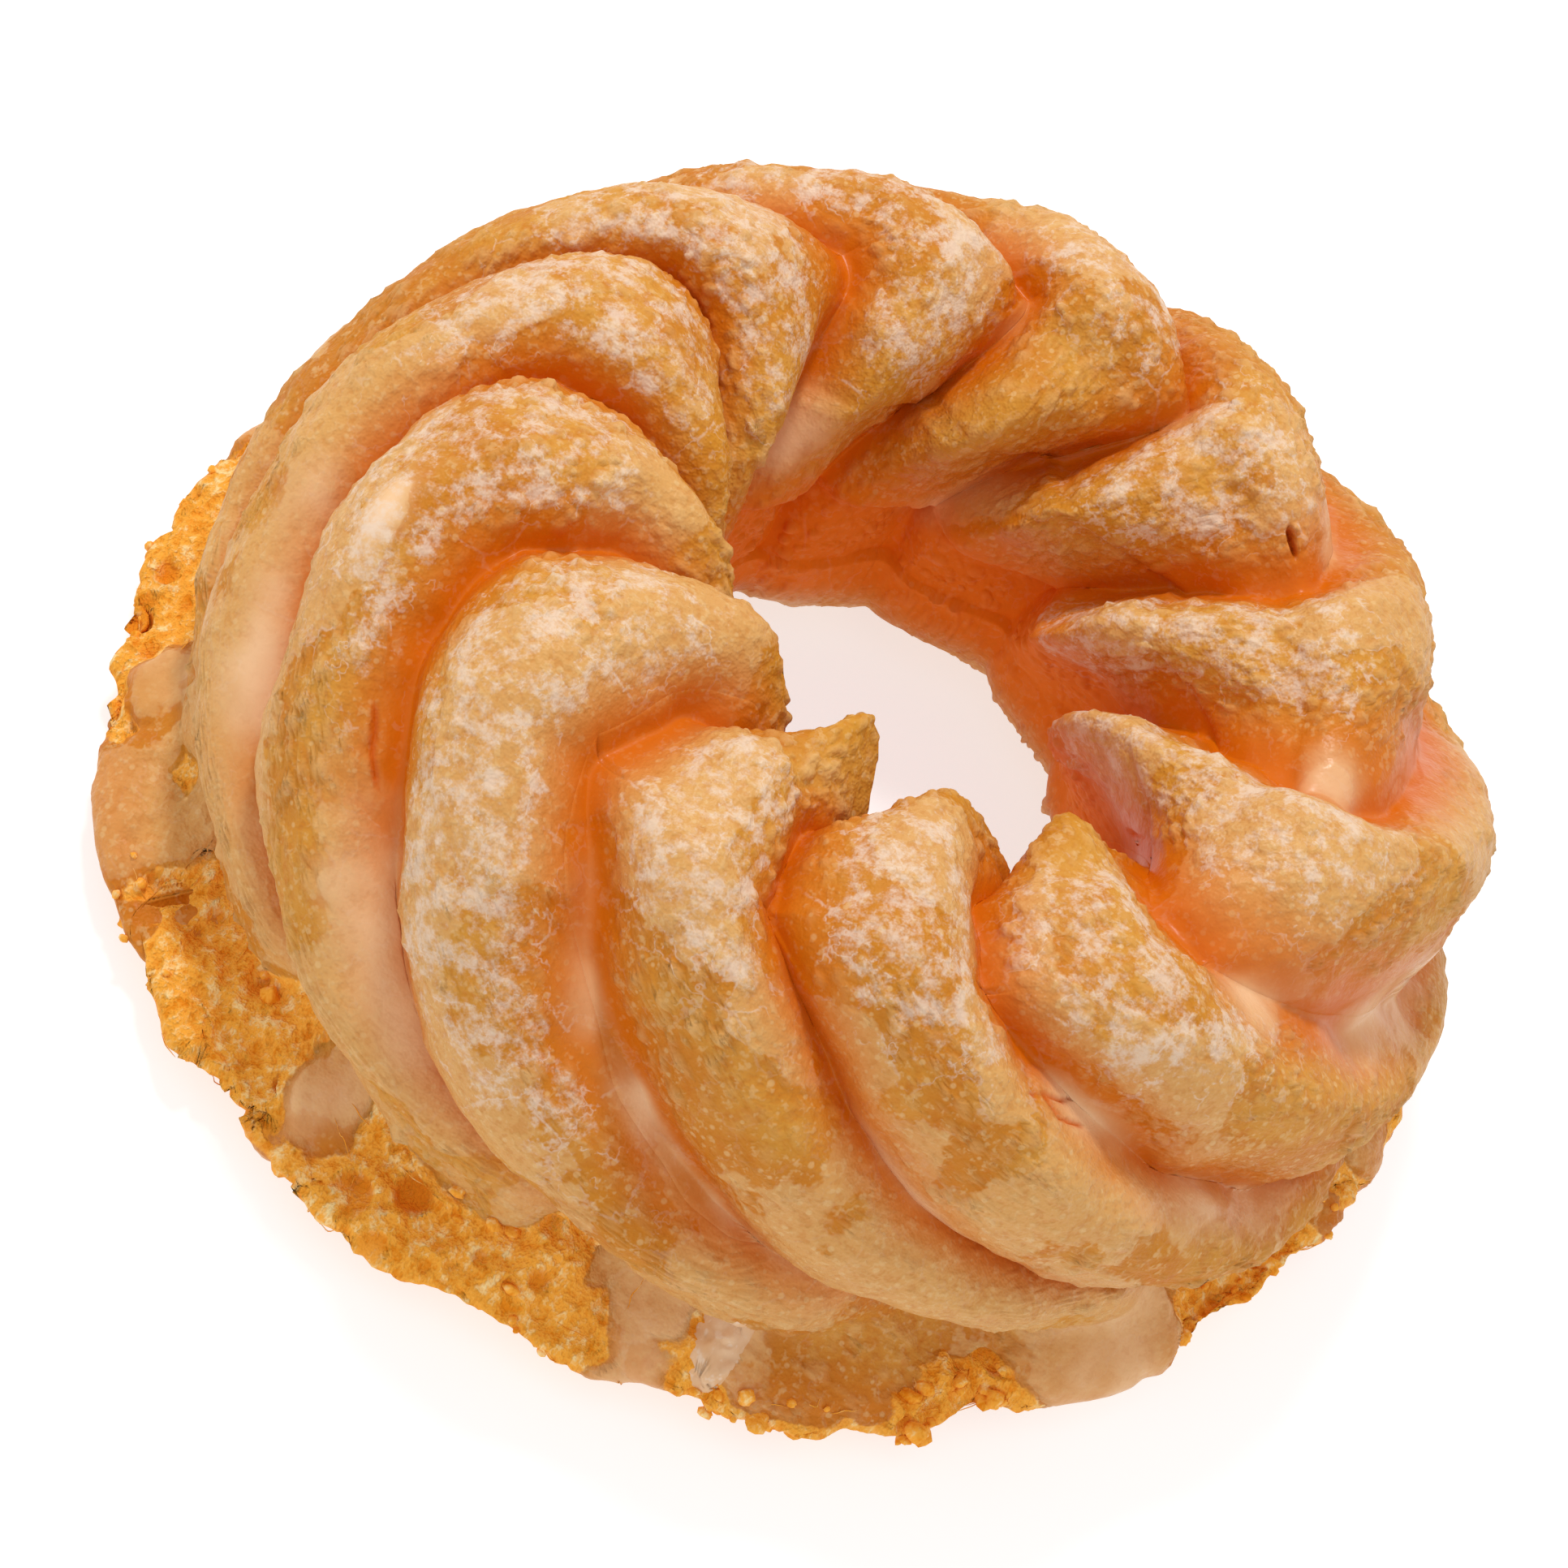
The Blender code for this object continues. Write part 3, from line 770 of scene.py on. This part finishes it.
def new_group(name, takes, gives):
    """An empty node group with named sockets."""
    tree = bpy.data.node_groups.new(name, "ShaderNodeTree")
    for label, kind, default in takes:
        socket = tree.interface.new_socket(label, in_out="INPUT", socket_type=kind)
        if default is not None:
            socket.default_value = default
    for label, kind in gives:
        tree.interface.new_socket(label, in_out="OUTPUT", socket_type=kind)
    return tree, tree.nodes.new("NodeGroupInput").outputs, tree.nodes.new("NodeGroupOutput").inputs


VECTOR, NUMBER, COLOUR = "NodeSocketVector", "NodeSocketFloat", "NodeSocketColor"


def clouds(tree, place, size_mm, detail, roughness=0.5):
    """The value of a noise texture with features of that many millimetres."""
    node = put(tree, "ShaderNodeTexNoise", {"Vector": place, "Scale": mm(size_mm),
                                            "Detail": detail, "Roughness": roughness})
    return node.outputs["Fac"]


# %% [markdown]
# ### Sugar lace
# Glaze dries thin and milky, and its sugar crystallises first along the edge of the
# film and in fine veins.  One noise gives the film a ragged edge, a second gives
# frosted blotches, and the walls between warped cells give the veins.

# %% Pattern: sugar lace
def build_sugar_lace():
    """Milky film with a ragged edge, a white seam along that edge, frosted blotches and
    a net of thin veins.  Film and Sugar are the broad masks it starts from."""
    tree, take, give = new_group("sugar_lace", (("Vector", VECTOR, None), ("Film", NUMBER, 0.5),
                                 ("Sugar", NUMBER, 0.5)), (("Film", NUMBER), ("Lace", NUMBER)))
    fine = clouds(tree, take["Vector"], 2.4, 3.0, 0.66)
    frost = clouds(tree, take["Vector"], 2.0, 4.0, 0.78)
    push = put(tree, "ShaderNodeVectorMath", {0: (0.005, -0.004, 0.0045), "Scale": fine},
               operation="SCALE")
    warped = put(tree, "ShaderNodeVectorMath", {0: take["Vector"], 1: push.outputs[0]})
    net = put(tree, "ShaderNodeTexVoronoi", {"Vector": warped.outputs[0], "Scale": mm(4.2)},
              feature="DISTANCE_TO_EDGE")
    shift = sums(tree, "MULTIPLY_ADD", fine, 0.7, -0.35)
    level = sums(tree, "ADD", take["Film"], shift)
    film = rise(tree, level, 0.47, 0.54)
    seam = rise(tree, sums(tree, "ABSOLUTE", sums(tree, "SUBTRACT", level, 0.50)), 0.035, 0.005)
    wanted = sums(tree, "MULTIPLY_ADD", take["Sugar"], 0.34, 0.20)
    blotch = rise(tree, sums(tree, "ADD", frost, wanted), 0.97, 1.20)
    vein = sums(tree, "MULTIPLY", rise(tree, net.outputs["Distance"], 0.035, 0.005),
                rise(tree, frost, 0.44, 0.56))
    seam = sums(tree, "MULTIPLY", seam, rise(tree, frost, 0.44, 0.58))
    edge = sums(tree, "MAXIMUM", seam, vein)
    edge = sums(tree, "MULTIPLY", edge, sums(tree, "MULTIPLY_ADD", take["Sugar"], 0.75, 0.10))
    tree.links.new(film, give["Film"])
    tree.links.new(sums(tree, "MAXIMUM", edge, sums(tree, "MULTIPLY", blotch, 0.9)), give["Lace"])
    return tree


# %% [markdown]
# ### Specks and grain
# Fried choux is covered in grains finer than the mesh.  Dots in cells make the pale
# tips, and one fine noise gives both the dark pits and a height for the bump.

# %% Pattern: specks and grain
def build_grain():
    """Pale specks and grains of 0.1 to 0.4 mm, darker pits, and a fine height to bump
    the skin with."""
    tree, take, give = new_group("fried_grain",
                                 (("Vector", VECTOR, None), ("Size mm", NUMBER, 1.0)),
                                 (("Specks", NUMBER), ("Pits", NUMBER), ("Height", NUMBER)))
    small = sums(tree, "DIVIDE", 1.0 / MM, take["Size mm"])
    dots = put(tree, "ShaderNodeTexVoronoi", {"Vector": take["Vector"], "Scale": small})
    sized = put(tree, "ShaderNodeSeparateColor", {0: dots.outputs["Color"]})
    reach = sums(tree, "MULTIPLY_ADD", sized.outputs[0], 0.36, -0.02)
    gap = sums(tree, "SUBTRACT", reach, dots.outputs["Distance"])
    cloud = clouds(tree, take["Vector"], 0.75, 2.0, 0.7)
    grains = sums(tree, "MULTIPLY", rise(tree, cloud, 0.54, 0.68), 0.8)
    tree.links.new(sums(tree, "MAXIMUM", rise(tree, gap, -0.06, 0.12), grains), give["Specks"])
    tree.links.new(rise(tree, cloud, 0.48, 0.34), give["Pits"])
    tree.links.new(cloud, give["Height"])
    return tree


# %% [markdown]
# ### Torn crumb
# Where the crust tore, the inside shows: pale strands and darker streaks drawn out
# upwards, with deep orange painted into the pores for the shade in them.  A noise
# squeezed along the height looks drawn out in just that way.

# %% Pattern: torn crumb
CRUMB_GOLD, CRUMB_PALE = (0.93, 0.40, 0.045, 1), (0.98, 0.69, 0.30, 1)
# the deep crumb colour is painted shade in the pores, and also the darker streaks of the crumb's
# own texture
CRUMB_PORE_SHADE_AND_STREAK = (0.80, 0.25, 0.008, 1)


def build_crumb():
    """Yellow-orange crumb, drawn out upwards: pale strands, darker streaks, and painted shade of
    deep orange in the pores.
    """
    tree, take, give = new_group("torn_crumb", (("Vector", VECTOR, None), ("Pore", NUMBER, 0.0)),
                                 (("Color", COLOUR), ("Height", NUMBER)))
    drawn = put(tree, "ShaderNodeVectorMath", {0: take["Vector"], 1: (1.0, 1.0, 0.32)},
                operation="MULTIPLY").outputs[0]
    cells = clouds(tree, drawn, 1.0, 3.0, 0.75)
    # painted shade in the pores, and darker streaks where the drawn-out noise is low
    dark = sums(tree, "MAXIMUM", sums(tree, "MULTIPLY", take["Pore"], 0.9),
                rise(tree, cells, 0.50, 0.32))
    pale = blend(tree, rise(tree, cells, 0.50, 0.70), CRUMB_GOLD, CRUMB_PALE)
    tree.links.new(blend(tree, dark, pale, CRUMB_PORE_SHADE_AND_STREAK), give["Color"])
    tree.links.new(cells, give["Height"])
    return tree


sugar_lace, fried_grain, torn_crumb = build_sugar_lace(), build_grain(), build_crumb()
print("patterns", [tree.name for tree in (sugar_lace, fried_grain, torn_crumb)])


# %% [markdown]
# ### Glazed crust
# The crust is painted layer by layer, from the bottom up: gold skin, freckles, toasted
# knobs, milky film, the painted glow and shade of the valleys and the hole, pools, grains,
# sugar, the painted shade of the cracks, and last the crumb of the tears, with painted
# shade in its pores.  Each layer is laid on by one mask of the mesh.

# %% Finish: glazed crust
def mask(tree, name):
    """The number kept on the mesh under that name."""
    return put(tree, "ShaderNodeAttribute", attribute_name=name).outputs["Fac"]


def start_material(name):
    """A material with its shader and Object coordinates."""
    made = bpy.data.materials.new(name)
    made.use_nodes = True
    tree = made.node_tree
    place = put(tree, "ShaderNodeTexCoord").outputs["Object"]
    return made, tree, tree.nodes["Principled BSDF"], place


glazed, tree, shader, place = start_material("fried_crust")
freckle = clouds(tree, place, 1.3, 2.0, 0.7)
lace = put(tree, "ShaderNodeGroup", node_tree=sugar_lace)
tree.links.new(place, lace.inputs["Vector"])
tree.links.new(mask(tree, "film"), lace.inputs["Film"])
tree.links.new(mask(tree, "sugar"), lace.inputs["Sugar"])
grain = put(tree, "ShaderNodeGroup", node_tree=fried_grain)
tree.links.new(place, grain.inputs["Vector"])
grain.inputs["Size mm"].default_value = 0.75
crumb = put(tree, "ShaderNodeGroup", node_tree=torn_crumb)
tree.links.new(place, crumb.inputs["Vector"])
tree.links.new(mask(tree, "pore"), crumb.inputs["Pore"])
valley, pool, torn, mottle, hole = [mask(tree, key) for key in
                                    ("valley", "pool", "torn", "mottle", "hole")]

# %% Crust colours, from the bottom layer up
GOLD, HONEY, FRECKLE = (0.57, 0.195, 0.013, 1), (0.64, 0.280, 0.040, 1), (0.55, 0.155, 0.005, 1)
TOAST, MILKY_FILM = (0.62, 0.27, 0.02, 1), (0.70, 0.375, 0.125, 1)
# the two glow colours on the next line are painted light: deep orange standing in for light that
# passes through the dough and for shade, in the valleys and, brighter, in the hole
PAINTED_VALLEY_GLOW_SHADE, PAINTED_HOLE_GLOW = (0.66, 0.135, 0.0005, 1), (0.82, 0.195, 0.0005, 1)
MILK, PIT_BROWN, PALE_TIP = (0.91, 0.60, 0.35, 1), (0.52, 0.15, 0.005, 1), (0.77, 0.50, 0.22, 1)
# the crack colour on the next line is painted shade and glow: the deep orange seen inside the
# cracks and the pit, which are also cut into the skin
SUGAR_WHITE, PAINTED_CRACK_SHADE_GLOW = (0.82, 0.67, 0.55, 1), (0.62, 0.11, 0.004, 1)


def coat(colour, amount, over):
    """The next layer of colour, laid on as strongly as amount says."""
    return blend(tree, amount, colour, over)


def scaled(value, share):
    """A number or socket times another."""
    return sums(tree, "MULTIPLY", value, share)


skin_colour = blend(tree, rise(tree, mottle, 0.35, 0.65), GOLD, HONEY)
skin_colour = coat(skin_colour, scaled(rise(tree, freckle, 0.50, 0.66), 0.5), FRECKLE)
skin_colour = coat(skin_colour, scaled(mask(tree, "toast"), 0.6), TOAST)
skin_colour = coat(skin_colour, scaled(lace.outputs["Film"], 0.75), MILKY_FILM)
# painted glow and shade: the valley mask lays the deep orange on, less of it under thick pools
deep = scaled(sums(tree, "POWER", valley, 1.4), sums(tree, "MULTIPLY_ADD", pool, -0.6, 0.96))
skin_colour = coat(skin_colour, deep, blend(tree, hole, PAINTED_VALLEY_GLOW_SHADE, PAINTED_HOLE_GLOW))
milk = scaled(sums(tree, "POWER", pool, 1.5), rise(tree, mottle, 0.20, 0.62))
skin_colour = coat(skin_colour, scaled(milk, 0.85), MILK)
level = sums(tree, "MAXIMUM", pool, sums(tree, "POWER", valley, 2.5))
smooth = sums(tree, "MULTIPLY_ADD", level, -0.85, 1.0)
skin_colour = coat(skin_colour, scaled(scaled(grain.outputs["Pits"], 0.30), smooth), PIT_BROWN)
tips = sums(tree, "MAXIMUM", scaled(grain.outputs["Specks"], 0.50),
            scaled(mask(tree, "blister"), 0.5))
skin_colour = coat(skin_colour, scaled(tips, smooth), PALE_TIP)
skin_colour = coat(skin_colour, scaled(lace.outputs["Lace"], 0.70), SUGAR_WHITE)
# painted shade and glow inside the real cracks and the pit
skin_colour = coat(skin_colour, mask(tree, "crack"), PAINTED_CRACK_SHADE_GLOW)
edge_of_tear = sums(tree, "MULTIPLY_ADD", freckle, 0.8, sums(tree, "SUBTRACT", torn, 0.4))
skin_colour = coat(skin_colour, rise(tree, edge_of_tear, 0.40, 0.60), crumb.outputs["Color"])
tree.links.new(skin_colour, shader.inputs["Base Color"])

# %% Crust gloss and fine bumps
wet = sums(tree, "MAXIMUM", pool, scaled(valley, 0.75))
wet = sums(tree, "MAXIMUM", wet, scaled(lace.outputs["Film"], 0.45))
gloss = sums(tree, "MULTIPLY_ADD", wet, -0.36, 0.56)
gloss = sums(tree, "MAXIMUM", gloss, scaled(torn, 0.9))
gloss = sums(tree, "MAXIMUM", gloss, scaled(hole, 0.75))
tree.links.new(gloss, shader.inputs["Roughness"])
bumps = sums(tree, "MULTIPLY_ADD", crumb.outputs["Height"], scaled(torn, 3.0),
             scaled(grain.outputs["Height"], smooth))
bump_node = put(tree, "ShaderNodeBump", {"Height": bumps, "Strength": 0.8, "Distance": 0.00028})
shader.inputs["Specular IOR Level"].default_value = 0.16
tree.links.new(bump_node.outputs[0], shader.inputs["Normal"])
print(glazed.name, "is made of", len(tree.nodes), "nodes")
for piece in crust:
    piece.data.materials.append(glazed)
    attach(piece, "root")
    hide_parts("cruller")

# %% [markdown]
# ### Drips, crumbs and threads
# A dried drip is thicker glaze, so it is paler and smoother than the film, with the
# same specks.  Crumbs and threads are loose bits of the torn crumb and share its group.

# %% Finish: dried drips
glaze, tree, shader, place = start_material("milky_glaze")
cloud = clouds(tree, place, 2.5, 4.0)
grain = put(tree, "ShaderNodeGroup", node_tree=fried_grain)
tree.links.new(place, grain.inputs["Vector"])
grain.inputs["Size mm"].default_value = 0.9
DRIP_TAN, DRIP_PALE = (0.74, 0.42, 0.20, 1), (0.80, 0.53, 0.32, 1)
DRIP_SPECK = (0.93, 0.80, 0.68, 1)
colour = blend(tree, rise(tree, cloud, 0.35, 0.65), DRIP_TAN, DRIP_PALE)
colour = blend(tree, sums(tree, "MULTIPLY", grain.outputs["Specks"], 0.4), colour, DRIP_SPECK)
tree.links.new(colour, shader.inputs["Base Color"])
tree.links.new(sums(tree, "MULTIPLY_ADD", cloud, 0.25, 0.32), shader.inputs["Roughness"])
shader.inputs["Specular IOR Level"].default_value = 0.2
drips.data.materials.append(glaze)

# %% Finish: crumbs and threads
choux, tree, shader, place = start_material("choux_crumb")
crumb = put(tree, "ShaderNodeGroup", node_tree=torn_crumb)
tree.links.new(place, crumb.inputs["Vector"])
tree.links.new(crumb.outputs["Color"], shader.inputs["Base Color"])
bump_node = put(tree, "ShaderNodeBump", {"Height": crumb.outputs["Height"], "Strength": 0.7,
                                         "Distance": 0.0003})
tree.links.new(bump_node.outputs[0], shader.inputs["Normal"])
shader.inputs["Roughness"].default_value = 0.85
shader.inputs["Specular IOR Level"].default_value = 0.1
crumbs.data.materials.append(choux)
thread_piece.data.materials.append(choux)
for piece in (drips, crumbs, thread_piece):
    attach(piece, "root")
print("loose pieces", [piece.name for piece in (drips, crumbs, thread_piece)])

# %% [markdown]
# ## Table, light and camera
# The ring lies on a plain white table in a light tent: the sky is bright and even, and
# one wide soft lamp high on the left gives the wet glaze something to shine with.

# %% Table
TABLE_HALF, TABLE_DROP = 3000.0, 0.05
corners = np.array([[-1.0, -1.0], [1.0, -1.0], [1.0, 1.0], [-1.0, 1.0]]) * TABLE_HALF
table = add_mesh("table", np.column_stack([corners, np.full(4, -TABLE_DROP)]), [[0, 1, 2, 3]])
paper, tree, shader, _ = start_material("table_white")
shader.inputs["Base Color"].default_value = (0.50, 0.50, 0.50, 1)
shader.inputs["Emission Color"].default_value = (1.0, 1.0, 1.0, 1)
shader.inputs["Emission Strength"].default_value = 0.64
shader.inputs["Roughness"].default_value = 0.95
shader.inputs["Specular IOR Level"].default_value = 0.1
table.data.materials.append(paper)

# %% Light
world = bpy.data.worlds.new("tent")
bpy.context.scene.world = world
world.use_nodes = True
world.node_tree.nodes["Background"].inputs["Color"].default_value = (1.0, 1.0, 1.0, 1)
world.node_tree.nodes["Background"].inputs["Strength"].default_value = 0.80
bpy.context.scene.view_settings.view_transform = "Standard"


def soft_lamp(name, place_mm, side_mm, watts):
    """A square lamp that faces the ring."""
    data = bpy.data.lights.new(name, "AREA")
    data.size = side_mm * MM
    data.energy = watts
    lamp = bpy.data.objects.new(name, data)
    bpy.context.scene.collection.objects.link(lamp)
    away = np.array(place_mm, dtype=float)
    away /= np.linalg.norm(away)
    side = np.cross([0.0, 0.0, 1.0], away)
    side /= np.linalg.norm(side)
    over = np.cross(away, side)
    lamp.matrix_world = Matrix([[side[k], over[k], away[k], place_mm[k] * MM] for k in range(3)]
                               + [[0, 0, 0, 1]])


soft_lamp("lamp_high", (-120.0, 160.0, 420.0), 60.0, 0.9)
print("lights", [thing.name for thing in bpy.data.lights])

# %% [markdown]
# ### Camera
# A hand-held camera looks down at the ring from the front and is turned a little on
# its own axis.  Its three directions are worked out from those two angles, and a small
# shift slides the frame without changing the view.

# %% Camera
CAMERA_RISE, CAMERA_ROLL, CAMERA_AWAY = 0.939, 0.548, 240.8   # radians and mm
FOCAL, SLIDE_X, SLIDE_Y, FRAME_SIDE = 4454.0, 78.0, -55.0, 1932.0   # all in one unit
SENSOR_MM = 36.0
AIM = np.array([0.51, -1.18, WAIST_HEIGHT])
back = np.array([0.0, -np.cos(CAMERA_RISE), np.sin(CAMERA_RISE)])
right = np.array([1.0, 0.0, 0.0])
up = np.cross(back, right)
rolled_right = np.cos(CAMERA_ROLL) * right + np.sin(CAMERA_ROLL) * up
rolled_up = -np.sin(CAMERA_ROLL) * right + np.cos(CAMERA_ROLL) * up
place = (back * CAMERA_AWAY - np.array([AIM[0], AIM[1], -AIM[2]]) - OFFSET) * MM
lens = bpy.data.cameras.new("camera")
lens.sensor_width = SENSOR_MM
lens.lens = FOCAL / FRAME_SIDE * SENSOR_MM
lens.shift_x = -SLIDE_X / FRAME_SIDE
lens.shift_y = SLIDE_Y / FRAME_SIDE
lens.clip_start = 0.01
camera = bpy.data.objects.new("camera", lens)
bpy.context.scene.collection.objects.link(camera)
camera.matrix_world = Matrix([[rolled_right[k], rolled_up[k], back[k], place[k]] for k in range(3)]
                             + [[0, 0, 0, 1]])
bpy.context.scene.camera = camera
print("camera of", round(lens.lens, 1), "mm,", CAMERA_AWAY, "mm away")
